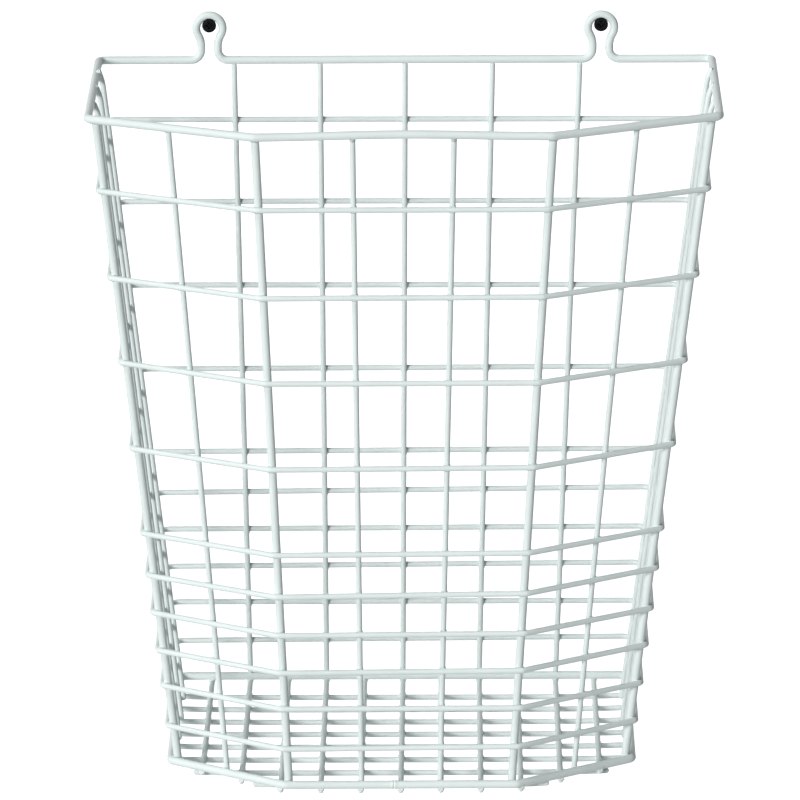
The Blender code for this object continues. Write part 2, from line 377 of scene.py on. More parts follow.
@dataclass
class Wire:
    """One coated wire: a round section carried along a path.

    The section's point at angle a is P + r (cos a S + sin a U), where P is the path, S is the
    tangent crossed with the reference direction, and U is S crossed with the tangent. At a butt
    join, d away from its place, the radius grows by a exp(-(d / w)^2) - b exp(-(d / v)^2): a low
    swell with a fine groove in its middle.
    """

    name: str
    path: Array
    gauge: Gauge
    seed: int
    closed: bool = False
    reference: Array = field(default_factory=lambda: UP)
    joins: tuple[Triple, ...] = ()
    coat_waver: float = 0.00002
    coat_repeats: int = 12
    line_waver: float = 0.00006
    swell_height: float = 0.00040
    swell_length: float = 0.0015
    groove_depth: float = 0.00060
    groove_length: float = 0.00045
    end_angles: tuple[float, ...] = (20.0, 40.0, 58.0, 72.0, 82.0)

    def distances(self) -> tuple[Array, float]:
        """Distance of each path point along the wire, and the wire's whole length.

        Returns:
            The distances, and the length.
        """
        ahead = np.roll(self.path, -1, axis=0) if self.closed else self.path[1:]
        steps = np.linalg.norm(ahead - self.path[: len(ahead)], axis=1)
        places = np.concatenate([[0.0], np.cumsum(steps)])
        return places[: len(self.path)], float(places[-1])

    def frames(self, path: Array) -> Arrays:
        """Side and up directions of the section at each point of a path.

        Args:
            path: points of the centre line.

        Returns:
            Side directions and up directions, one for each point.
        """
        if self.closed:
            tangent = unit(np.roll(path, -1, axis=0) - np.roll(path, 1, axis=0))
        else:
            tangent = unit(np.gradient(path, axis=0))
        side = unit(np.cross(tangent, np.broadcast_to(self.reference, path.shape)))
        return side, np.cross(side, tangent)

    def rounded_ends(self, path: Array, radius: Array) -> Arrays:
        """Path and radius with both ends rounded over: radius r cos b at a reach of r sin b.

        Args:
            path: points of the centre line.
            radius: radius at each point.

        Returns:
            Path and radius with the added points.
        """
        angle = np.radians(self.end_angles)
        reach, narrow = np.sin(angle)[:, None], np.cos(angle)
        first, last = unit(path[1] - path[0]), unit(path[-1] - path[-2])
        inner_start, inner_end = path[0] + first * radius[0], path[-1] - last * radius[-1]
        head = (inner_start - first * radius[0] * reach)[::-1]
        tail = inner_end + last * radius[-1] * reach
        path = np.concatenate([head, inner_start[None], path[1:-1], inner_end[None], tail])
        radius = np.concatenate([(radius[0] * narrow)[::-1], radius, radius[-1] * narrow])
        return path, radius

    def join_growth(self, path: Array) -> Array:
        """What the butt joins add to the radius at each point of a path.

        Args:
            path: points of the centre line.

        Returns:
            One length for each point.
        """
        growth = np.zeros(len(path))
        for join in self.joins:
            away = np.linalg.norm(path - np.array(join), axis=1)
            growth += self.swell_height * np.exp(-(away / self.swell_length) ** 2)
            growth -= self.groove_depth * np.exp(-(away / self.groove_length) ** 2)
        return growth

    def build(self, material: bpy.types.Material) -> bpy.types.Object:
        """Mesh of the wire, with a UV map in metres along and around it.

        Args:
            material: the wire's finish.

        Returns:
            The linked object.
        """
        places, length = self.distances()
        side, up = self.frames(self.path)
        shift = side * wander(places, self.seed, length)[:, None]
        shift += up * wander(places, self.seed + 1, length)[:, None]
        path = self.path + shift * self.line_waver
        waver = wander(places, self.seed + 2, length / self.coat_repeats)
        radius = self.gauge.radius + self.coat_waver * waver + self.join_growth(path)
        if not self.closed:
            path, radius = self.rounded_ends(path, radius)
        side, up = self.frames(path)
        angle = np.arange(self.gauge.sides) * FULL_TURN / self.gauge.sides
        ring = np.cos(angle)[None, :, None] * side[:, None] + np.sin(angle)[None, :, None] * up[:, None]
        points = path[:, None] + radius[:, None, None] * ring
        piece = put_mesh(self.name, points, tube_faces(len(path), self.gauge.sides, self.closed), material)
        self.unwrap(piece, path)
        return piece

    def unwrap(self, piece: bpy.types.Object, path: Array) -> None:
        """UV map of the quads, in metres along the path and round the section.

        Args:
            piece: the wire's object.
            path: points of its centre line.
        """
        sides = self.gauge.sides
        row, turn = tube_corners(len(path), sides, self.closed)
        steps = np.linalg.norm(np.roll(path, -1, axis=0) - path, axis=1)
        along = np.concatenate([[0.0], np.cumsum(steps)])
        around = np.arange(sides + 1) * FULL_TURN * self.gauge.radius / sides
        uv = np.stack([along[row], around[turn]], axis=-1).reshape(-1, 2)
        values = np.zeros((len(piece.data.loops), 2), np.float32)
        values[: len(uv)] = uv
        piece.data.uv_layers.new(name="along_around").data.foreach_set("uv", values.ravel())


class Crossing(NamedTuple):
    """Where one wire lies across another: a point and a direction on each, with their radii."""

    first: Array
    first_way: Array
    first_radius: float
    second: Array
    second_way: Array
    second_radius: float


@dataclass
class Welds:
    """Spot welds with the coating drawn into the corners round them.

    Each weld is a small web that fills the four corners between two crossing wires. With b the
    angle round it, t from -1 near the first wire to 1 near the second, and r the thinner wire's
    radius, its reach from the weld's middle is r (1 + c sin^2 2b)(w + (1 - w) t^2), and its height
    over the plane where the wires meet is h r t.
    """

    name: str
    crossings: list[Crossing]
    corner_share: float = 0.62
    waist_share: float = 0.84
    height_share: float = 0.62
    turns: int = 16
    levels: int = 5

    def build(self, material: bpy.types.Material) -> bpy.types.Object:
        """One mesh that holds every weld of the group.

        Args:
            material: the finish of the welds.

        Returns:
            The linked object.
        """
        first, way_a, radius_a, second, way_b, radius_b = map(np.array, zip(*self.crossings))
        way_a, way_b = unit(way_a), unit(way_b)
        normal = unit(second - first)
        spread = np.linalg.norm(second - first, axis=1)
        way_a = unit(way_a - normal * (way_a * normal).sum(axis=1, keepdims=True))
        across = np.cross(normal, way_a)
        turn = np.arange(self.turns)[None] * FULL_TURN / self.turns
        heading = np.cos(turn)[..., None] * way_a[:, None] + np.sin(turn)[..., None] * across[:, None]
        small = np.minimum(radius_a, radius_b)[:, None, None]
        meet = (radius_a * spread / (radius_a + radius_b))[:, None, None]
        level = np.linspace(-1, 1, self.levels)[None, None, :]
        lobes = 1 + self.corner_share * np.sin(2 * (turn - self.slant(way_a, way_b, normal) / 2)) ** 2
        reach = small * lobes[..., None] * (self.waist_share + (1 - self.waist_share) * level ** 2)
        rise = meet + self.height_share * small * level + np.zeros_like(reach)
        points = (first[:, None, None] + heading[:, :, None] * reach[..., None]
                  + normal[:, None, None] * rise[..., None])
        return put_mesh(self.name, points, self.faces(len(first)), material)

    @staticmethod
    def slant(way_a: Array, way_b: Array, normal: Array) -> Array:
        """How far the second wire is from square to the first, as an angle about the normal.

        Args:
            way_a: directions of the first wires.
            way_b: directions of the second wires.
            normal: directions from the first to the second.

        Returns:
            One angle for each weld.
        """
        flat = unit(way_b - normal * (way_b * normal).sum(axis=1, keepdims=True))
        across = np.cross(normal, way_a)
        angle = np.arctan2((flat * across).sum(axis=1), (flat * way_a).sum(axis=1))
        return ((angle % math.pi) - math.pi / 2)[:, None]

    def faces(self, count: int) -> list[list[int]]:
        """Quads round each collar and a closing face at each of its two ends.

        Args:
            count: number of welds.

        Returns:
            Faces as lists of point numbers.
        """
        base = np.arange(count)[:, None, None] * self.turns * self.levels
        i, j = np.meshgrid(np.arange(self.turns), np.arange(self.levels - 1), indexing="ij")
        beside = (i + 1) % self.turns
        corners = [(i, j), (beside, j), (beside, j + 1), (i, j + 1)]
        quads = np.stack([a * self.levels + b for a, b in corners], axis=-1)
        quads = (base[..., None] + quads[None]).reshape(-1, 4).tolist()
        bottom = np.arange(self.turns)[::-1] * self.levels
        top = np.arange(self.turns) * self.levels + self.levels - 1
        caps = np.concatenate([base[:, :, 0] + bottom, base[:, :, 0] + top])
        return quads + caps.tolist()


class Graph:
    """The nodes of a material or a world, with short ways to add and join them."""

    def __init__(self, owner: bpy.types.Material | bpy.types.World) -> None:
        """Take hold of the owner's node tree."""
        owner.use_nodes = True
        self.tree = owner.node_tree

    def feed(self, node: bpy.types.Node, sockets: dict) -> bpy.types.Node:
        """Set each named socket of a node to a constant, or link it to another node's output.

        Args:
            node: the node to feed.
            sockets: constant or output for each socket's name.

        Returns:
            The same node.
        """
        for socket, value in sockets.items():
            if isinstance(value, Socket):
                self.tree.links.new(value, node.inputs[socket])
            else:
                node.inputs[socket].default_value = value
        return node

    def add(self, kind: str, sockets: dict | None = None, **settings: str) -> bpy.types.Node:
        """New node of a kind, with its settings and what feeds its sockets.

        Args:
            kind: the node's type, without its prefix.
            sockets: what feeds it.
            settings: values of the node's own settings.

        Returns:
            The new node.
        """
        node = self.tree.nodes.new(f"ShaderNode{kind}")
        for setting, value in settings.items():
            setattr(node, setting, value)
        return self.feed(node, sockets or {})

    def ramp(self, amount: Socket, places: Pair, colours: tuple[Triple, Triple]) -> Socket:
        """Output that runs from the first colour to the second between two places of an amount.

        Args:
            amount: output that drives the ramp.
            places: amounts at which the run starts and ends.
            colours: the colours there.

        Returns:
            The ramp's colour output.
        """
        node = self.add("ValToRGB", {"Fac": amount})
        for element, position, colour in zip(node.color_ramp.elements, places, colours):
            element.position, element.color = position, (*colour, 1.0)
        return node.outputs["Color"]


@dataclass(frozen=True)
class Finish:
    """A finish in object space: one noise sets its tone and gloss, and another its fine relief.

    The tone runs from shade to colour between two places of the noise, and the roughness between
    two values. Each noise has a scale and a detail; the relief has a strength and a height in
    metres. The values here are those of the coated wires: pale epoxy, satin, with a fine peel.
    """

    name: str
    shade: Triple = (0.755, 0.825, 0.812)
    colour: Triple = (0.79, 0.855, 0.842)
    tone_places: Pair = (0.32, 0.68)
    roughness: Pair = (0.28, 0.44)
    tone_noise: Pair = (38.0, 4.0)
    relief_noise: Pair = (900.0, 2.0)
    relief: Pair = (0.5, 0.000008)
    specular: float = 0.12
    metallic: float = 0.0

    def material(self) -> bpy.types.Material:
        """Node material of the finish.

        Returns:
            The material, ready to be put on a mesh.
        """
        made = bpy.data.materials.new(self.name)
        graph = Graph(made)
        spot = graph.add("TexCoord").outputs["Object"]
        tone, relief = (
            graph.add("TexNoise", {"Vector": spot, "Scale": scale, "Detail": detail}).outputs["Fac"]
            for scale, detail in (self.tone_noise, self.relief_noise))
        (low, high), (strength, height) = self.roughness, self.relief
        gloss = graph.add("MapRange", {"Value": tone, "To Min": low, "To Max": high})
        bump = graph.add("Bump", {"Height": relief, "Strength": strength, "Distance": height})
        graph.feed(graph.tree.nodes["Principled BSDF"], {
            "Base Color": graph.ramp(tone, self.tone_places, (self.shade, self.colour)),
            "Roughness": gloss.outputs["Result"], "Normal": bump.outputs["Normal"],
            "Metallic": self.metallic, "Specular IOR Level": self.specular})
        return made


# Black phosphate on a hardened screw: dark and fine-grained, with paler worn grains.
BLACK_PHOSPHATE = Finish(
    "black_phosphate", shade=(0.004, 0.0043, 0.0045), colour=(0.020, 0.021, 0.022),
    tone_places=(0.45, 0.75), roughness=(0.28, 0.50), tone_noise=(1400.0, 3.0),
    relief_noise=(1400.0, 3.0), relief=(0.4, 0.00002), specular=0.06, metallic=0.3)


@dataclass
class Rims:
    """Top rim with its two hanger loops, and the plain bottom rim."""

    plan: Plan
    finish: Finish
    back_bend: float = 0.005
    bend_steps: int = 10
    spacing: float = 0.003
    loop_spacing: float = 0.249
    loop_bend: float = 0.0084
    loop_rise: float = 0.0206
    neck_half: float = 0.0053
    neck_top: float = 0.0090
    foot_bend: float = 0.0065
    foot_points: int = 12
    shoulder_points: int = 9
    loop_points: int = 41
    bow: float = 0.0017
    bow_half: float = 0.062
    bow_depth: float = 0.2
    join_x: float = -0.0042
    join_half: float = 0.004
    join_points: int = 33

    @property
    def shoulder(self) -> float:
        """Radius g of the gentle bend between neck and loop, which touches both.

        With the bend's centre at (n + g, t), where the neck ends, and the loop's at (0, h), the
        distance between them is r + g, so g = (n^2 + (h - t)^2 - r^2) / (2 (r - n)).

        Returns:
            The radius g.
        """
        above = self.loop_rise - self.neck_top
        spread = self.neck_half ** 2 + above ** 2 - self.loop_bend ** 2
        return spread / (2 * (self.loop_bend - self.neck_half))

    def loop(self, centre_x: float) -> Array:
        """Points of one keyhole loop, from its right foot over the top to its left foot.

        The right half is a bend up from the rail, a straight neck and the gentle bend into the
        loop; the left half is its mirror image.

        Args:
            centre_x: place of the loop's middle across the basket.

        Returns:
            The loop's centre line.
        """
        foot, shoulder = self.foot_bend, self.shoulder
        lean = math.atan2(self.loop_rise - self.neck_top, self.neck_half + shoulder)
        low = np.linspace(-math.pi / 2, -math.pi, self.foot_points)
        high = np.linspace(math.pi, math.pi - lean, self.shoulder_points, endpoint=False)
        over = np.linspace(-lean, math.pi + lean, self.loop_points)
        side_x = np.concatenate([self.neck_half + foot * (1 + np.cos(low)),
                                 self.neck_half + shoulder * (1 + np.cos(high))])
        side_z = np.concatenate([foot * (1 + np.sin(low)), self.neck_top + shoulder * np.sin(high)])
        x = np.concatenate([side_x, self.loop_bend * np.cos(over), -side_x[::-1]])
        z = np.concatenate([side_z, self.loop_rise + self.loop_bend * np.sin(over), side_z[::-1]])
        rail = self.plan.rim_height - self.plan.back_drop
        return self.plan.at(centre_x + x, self.plan.rail_back, rail + z)

    def bends(self, height: float, back_drop: float) -> list[Array]:
        """Arcs at the six corners of a rim whose back rail lies lower by the drop.

        Args:
            height: height of the rim.
            back_drop: how much lower its back rail lies.

        Returns:
            Six arcs, from back left round to back right.
        """
        offset = self.plan.rim_offset
        x, depth = self.plan.outline(height, offset, self.plan.rail_back, back_drop)
        level = height - back_drop * np.array([1.0, 0, 0, 0, 0, 1.0])
        return rounded(self.plan.at(x, depth, level), self.back_bend, offset, self.bend_steps)

    def top_path(self) -> Array:
        """Centre line of the top rim, its front bowed up in the middle by b exp(-(x / h)^2).

        Returns:
            Points of the closed centre line.
        """
        loops = [self.loop(self.loop_spacing / 2), self.loop(-self.loop_spacing / 2)]
        path = closed_path(self.bends(self.plan.rim_height, self.plan.back_drop) + loops, self.spacing)
        in_front = path[:, 1] < -self.bow_depth
        path[:, 2] += self.bow * np.exp(-(path[:, 0] / self.bow_half) ** 2) * in_front
        return path

    def base_path(self) -> Array:
        """Centre line of the bottom rim, with the close points of its join between the front bends."""
        bends = self.bends(0.0, 0.0)
        return closed_path(bends[:3] + [self.join_run()] + bends[3:], self.spacing)

    def join_run(self) -> Array:
        """Close points of the short run round the butt join in the bottom rim's front."""
        x = self.join_x + np.linspace(-self.join_half, self.join_half, self.join_points)
        return self.plan.at(x, self.plan.base_front[1] + self.plan.rim_offset, 0.0)

    def reference(self, path: Array) -> Array:
        """Direction that the section is built on: up, turning into the wall along the back rail.

        The share of the turn is a smooth step of the depth from the wall, so that the vertical
        runs of the loops never lie along the reference.
        """
        share = smooth(np.clip((-path[:, 1] - self.plan.rail_back) / self.back_bend, 0, 1))[:, None]
        return unit(UP * share + INTO_WALL * (1 - share) + UP * 1e-6)

    def build(self) -> None:
        """Both rims."""
        material = self.finish.material()
        join = tuple(self.join_run()[self.join_points // 2])
        for name, path, seed, joins in (("top_rim", self.top_path(), 11, ()),
                                        ("bottom_rim", self.base_path(), 23, (join,))):
            wire = Wire(f"{name}_wire", path, Gauge.THICK, seed, True, self.reference(path), joins)
            place(wire.build(material), (name,))


@dataclass
class Rings:
    """Ten ring wires, six close together below and four wider apart above.

    No ring lies quite level after welding: sets holds for each, from the top, how much it is
    shifted up, and how far it rises to the right and to the front.
    """

    plan: Plan
    finish: Finish
    lowest: float = 0.0248
    close_pitch: float = 0.0255
    wide_pitch: float = 0.0555
    close_rings: int = 6
    wide_rings: int = 4
    back_bend: float = 0.005
    spacing: float = 0.004
    bend_steps: int = 8
    sets: tuple[Triple, ...] = (
        (-0.0011, -0.0004, 0.0009), (0.0006, -0.0003, -0.0010), (0.0004, -0.0008, -0.0001),
        (0.0006, 0.0001, 0.0001), (0.0006, 0.0004, -0.0002), (-0.0008, 0.0014, -0.0003),
        (-0.0010, 0.0004, -0.0005), (-0.0005, 0.0010, -0.0002), (-0.0002, 0.0, 0.0006),
        (-0.0002, 0.0013, -0.0002))

    def heights(self) -> Array:
        """Heights of the rings, the highest first.

        Returns:
            One height for each ring, over the bottom rim.
        """
        index = np.arange(self.close_rings + self.wide_rings)[::-1]
        close = np.minimum(index, self.close_rings - 1)
        return self.lowest + close * self.close_pitch + (index - close) * self.wide_pitch

    def level(self, index: int, x: Array, depth: Array) -> Array:
        """Height of a ring at a place.

        Args:
            index: the ring's place in heights(), from the top.
            x: place across the basket.
            depth: depth from the wall.

        Returns:
            The ring's even height, plus a shift, a rise to the right and a rise to the front.
        """
        u, v = self.plan.shares(x, depth)
        return self.heights()[index] + weigh(self.sets[index], (1, u, v))

    def build(self) -> None:
        """Every ring as its own piece."""
        material = self.finish.material()
        offset = self.plan.ring_offset
        for index, height in enumerate(self.heights()):
            number = index + 1
            x, depth = self.plan.outline(float(height), offset, self.plan.ring_back)
            corners = self.plan.at(x, depth, self.level(index, x, depth))
            path = closed_path(rounded(corners, self.back_bend, offset, self.bend_steps), self.spacing)
            wire = Wire(f"ring_wire_{number:02d}", path, Gauge.THIN, 100 + 7 * number, True)
            place(wire.build(material), (f"ring_{number:02d}",))


@dataclass(frozen=True)
class Line:
    """Centre line of an upright or post, from its lower to its upper end as (x, depth, height)."""

    low: Array
    high: Array
    gauge: Gauge

    def at(self, height: float) -> Array:
        """Point of the line, or of what continues it, at a height."""
        return mix(self.low, self.high, (height - self.low[2]) / (self.high[2] - self.low[2]))


@dataclass
class Uprights:
    """Four thick posts, and the thin uprights of back, sides, diagonals and front."""

    plan: Plan
    post_finish: Finish
    thin_finish: Finish
    back_top_pitch: float = 0.055
    back_base_pitch: float = 0.050
    back_leans: tuple[float, ...] = (0.0010, 0.0008, 0.0, 0.0006, 0.0012)
    front_top_half: float = 0.031
    front_base_half: float = 0.0245
    side_shares: tuple[float, ...] = (0.27, 0.51, 0.75)
    side_drop: float = 0.0012
    side_curl: float = 0.0016
    curl_length: float = 0.0055
    curl_spacing: float = 0.0020
    diagonal_shares: Pair = (0.46, 0.472)
    front_shifts: tuple[Pair, ...] = ((-0.0010, 0.0007), (-0.0018, 0.0018))
    post_reach: float = 0.0010
    top_drop: float = 0.0003
    base_reach: float = 0.0015
    spacing: float = 0.006

    def lines(self) -> dict[str, Line]:
        """Centre line of each post and upright, by its node's name.

        Returns:
            The lines in the order in which they are built.
        """
        made = self.back_lines()
        halves = zip(("left", "right"), (-1, 1), self.diagonal_shares, self.front_shifts)
        for label, sign, share, shifts in halves:
            made |= {f"{kind}_{label}{number}": self.cut(sign, foot, tip, reach, gauge)
                     for kind, number, foot, tip, reach, gauge in self.half(share, shifts)}
        return made

    def back_lines(self) -> dict[str, Line]:
        """Centre lines of the back uprights, which reach from rim to rim.

        Returns:
            The lines by their nodes' names, from left to right.
        """
        plan, seat = self.plan, Gauge.THICK.radius - self.plan.sunk
        rail = plan.rim_height - plan.back_drop
        made = {}
        for number, lean in enumerate(self.back_leans, start=1):
            step = number - 1 - len(self.back_leans) // 2
            low = np.array([step * self.back_base_pitch, plan.rail_back, seat])
            high = np.array([step * self.back_top_pitch + lean, plan.rail_back, rail - seat])
            made[f"back_upright_{number}"] = Line(low, high, Gauge.THIN)
        return made

    def half(self, share: float, shifts: Pair) -> list[tuple]:
        """Posts and uprights of one half, all drawn on the right.

        Args:
            share: place of the diagonal upright between the side bend and the front bend.
            shifts: how far the front post's foot and tip stand beside the front bend.

        Returns:
            For each its kind, its number's ending, foot and tip as (x, depth), reach and gauge.
        """
        plan, thin, thick, top = self.plan, Gauge.THIN, Gauge.THICK, self.plan.rim_height
        posts = plan.bends(0, 0), plan.bends(top, 0)
        rows = plan.bends(0, plan.upright_offset), plan.bends(top, plan.upright_offset)
        fronts = [self.beside(bends, shift) for bends, shift in zip(posts, shifts)]
        made = [("side_post", "", posts[0][0], posts[1][0], top + self.post_reach, thick),
                ("front_post", "", *fronts, top + self.post_reach, thick)]
        for number, side_share in enumerate(self.side_shares, start=1):
            depths = [mix(plan.rail_back, bends[0][1], side_share) for bends in rows]
            ends = [np.array([plan.side_x(level, depth) + plan.upright_offset, depth])
                    for level, depth in zip((0.0, top), depths)]
            made.append(("side_upright", f"_{number}", *ends, top - self.side_drop, thin))
        diagonals = [mix(bends[0], bends[1], share) for bends in rows]
        halves = (self.front_base_half, self.front_top_half)
        middles = [np.array([half, bends[1][1]]) for half, bends in zip(halves, rows)]
        made += [("diagonal_upright", "", *diagonals, top - self.top_drop, thin),
                 ("front_upright", "", *middles, top - self.top_drop, thin)]
        return made

    @staticmethod
    def beside(bends: Arrays, shift: float) -> Array:
        """Place beside the front bend: inwards along the front, or outwards along the diagonal."""
        way = unit(bends[0] - bends[1]) if shift > 0 else np.array([1.0, 0.0])
        return bends[1] + way * shift

    def cut(self, sign: int, foot: Array, tip: Array, reach: float, gauge: Gauge) -> Line:
        """Line through a foot and a tip on one half, from just under the bottom rim to a height.

        Args:
            sign: -1 for the left half and 1 for the right.
            foot: place at the bottom rim's level.
            tip: place at the top rim's level.
            reach: height at which the line ends.
            gauge: its wire.

        Returns:
            The line between its two ends.
        """
        whole = Line(np.array([sign * foot[0], foot[1], 0.0]),
                     np.array([sign * tip[0], tip[1], self.plan.rim_height]), gauge)
        return Line(whole.at(-self.base_reach), whole.at(reach), gauge)

    def curled(self, path: Array) -> Array:
        """Path of a side upright with its tip drawn out to the rim by c exp(-(d / l)^2).

        Args:
            path: centre line from the foot to the tip, where d is the distance from the tip.

        Returns:
            The same points, moved across the basket only.
        """
        from_tip = np.linalg.norm(path - path[-1], axis=1)
        out = np.sign(path[-1, 0]) * self.side_curl * np.exp(-(from_tip / self.curl_length) ** 2)
        return path + out[:, None] * ACROSS

    def build(self) -> None:
        """Every post and upright as its own piece."""
        looks = {Gauge.THICK: (self.post_finish.material(), "post_coating"),
                 Gauge.THIN: (self.thin_finish.material(), "upright_coating")}
        for count, (node, line) in enumerate(self.lines().items()):
            ends = self.plan.at(*line.low), self.plan.at(*line.high)
            if node.startswith("side_upright"):
                path = self.curled(line_path(*ends, self.curl_spacing))
            else:
                path = line_path(*ends, self.spacing)
            material, slot = looks[line.gauge]
            wire = Wire(f"{node}_wire", path, line.gauge, 300 + 11 * count, False, INTO_WALL)
            place(wire.build(material), (node,))


@dataclass
class FloorGrid:
    """Runners from back to front under the bottom rim, and cross wires under the runners."""

    plan: Plan
    finish: Finish
    runners: int = 11
    runner_pitch: float = 0.025
    runner_nub: float = 0.0020
    runner_back: float = 0.0022
    crosses: int = 8
    cross_pitch: float = 0.025
    first_cross: float = 0.0310
    cross_inset: float = 0.0015
    cross_lifts: tuple[float, ...] = (0.0, 0.0, 0.0001, 0.0003, 0.0004, 0.0005, 0.0006, 0.0013)
    end_lift: float = 0.0010
    spacing: float = 0.006

    @property
    def runner_drop(self) -> float:
        """Centre line of the runners under that of the bottom rim."""
        return Gauge.THICK.radius + Gauge.THIN.radius - self.plan.sunk

    @property
    def cross_drop(self) -> float:
        """Centre line of the cross wires under that of the bottom rim."""
        return self.runner_drop + 2 * Gauge.THIN.radius - self.plan.sunk

    @property
    def runner_places(self) -> Array:
        """Places of the runners across the basket."""
        return (np.arange(self.runners) - (self.runners - 1) / 2) * self.runner_pitch

    @property
    def cross_depths(self) -> Array:
        """Depths of the cross wires from the wall."""
        return self.first_cross + np.arange(self.crosses) * self.cross_pitch

    def cross_level(self, index: int, share: Array) -> Array:
        """Height of a cross wire's centre line over the bottom rim's, always below it.

        Args:
            index: the cross wire's place, from the wall.
            share: place across, as a share s of the wire's half length.

        Returns:
            The wire's even height with its own lift, and its ends drawn up to the rim by e s^6.
        """
        return self.cross_lifts[index] - self.cross_drop + self.end_lift * np.asarray(share) ** 6

    def rim_depth(self, x: Array) -> Array:
        """Depth of the bottom rim's front outline at places across the basket."""
        side, front = self.plan.bends(0, self.plan.rim_offset)
        return np.interp(np.abs(x), [front[0], side[0]], [front[1], side[1]])

    def rim_half_width(self, depth: Array) -> Array:
        """Half width of the bottom rim's outline at depths from the wall."""
        side, front = self.plan.bends(0, self.plan.rim_offset)
        return np.interp(depth, [side[1], front[1]], [side[0], front[0]])

    def build(self) -> None:
        """Every runner and cross wire as its own piece."""
        material = self.finish.material()
        x = self.runner_places
        for number, (place_x, front) in enumerate(zip(x, self.rim_depth(x) + self.runner_nub), start=1):
            ends = self.plan.at(place_x, np.array([self.runner_back, front]), -self.runner_drop)
            self.lay(f"floor_runner_{number:02d}", line_path(*ends, self.spacing), 700 + number, material)
        depths = self.cross_depths
        halves = self.rim_half_width(depths) - self.cross_inset
        for number, (depth, half) in enumerate(zip(depths, halves), start=1):
            share = np.linspace(-1, 1, 2 * int(half / self.spacing) + 1)
            path = self.plan.at(half * share, depth, self.cross_level(number - 1, share))
            self.lay(f"floor_cross_{number}", path, 800 + number, material)

    def lay(self, node: str, path: Array, seed: int, material: bpy.types.Material) -> None:
        """One wire of the grid along its path."""
        wire = Wire(f"{node}_wire", path, Gauge.THIN, seed * 5)
        place(wire.build(material), (node,))


